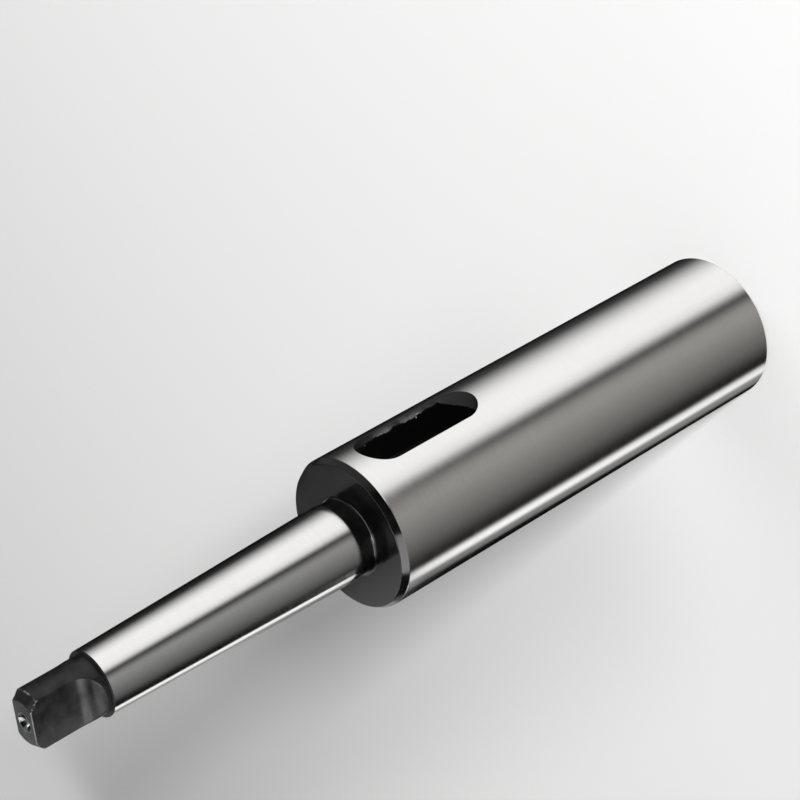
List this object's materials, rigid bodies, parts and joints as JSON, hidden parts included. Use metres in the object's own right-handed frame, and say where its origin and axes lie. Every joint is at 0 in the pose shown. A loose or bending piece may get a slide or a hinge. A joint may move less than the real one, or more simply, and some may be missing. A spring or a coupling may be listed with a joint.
{
  "type": "morse taper sleeve",
  "caption": "Extension sleeve: a tanged taper shank carries a longer cylindrical body with the next larger taper as its socket and a cross slot for the drift key.",
  "frame": {"origin": "centre of the mouth face, on which the sleeve stands", "axes": "+Z along the turning axis from the mouth to the tang; the drift slot runs through along Y and the tang's flats face +X and -X"},
  "size_m": [0.035, 0.035, 0.2],
  "materials": {
    "ground_steel": "fine ground bright steel on the body and the shank taper, black oxide on the shoulder, relief, tang and slot"
  },
  "bodies": {
    "root": {"taper_sleeve": "ground_steel"}
  },
  "joints": []
}
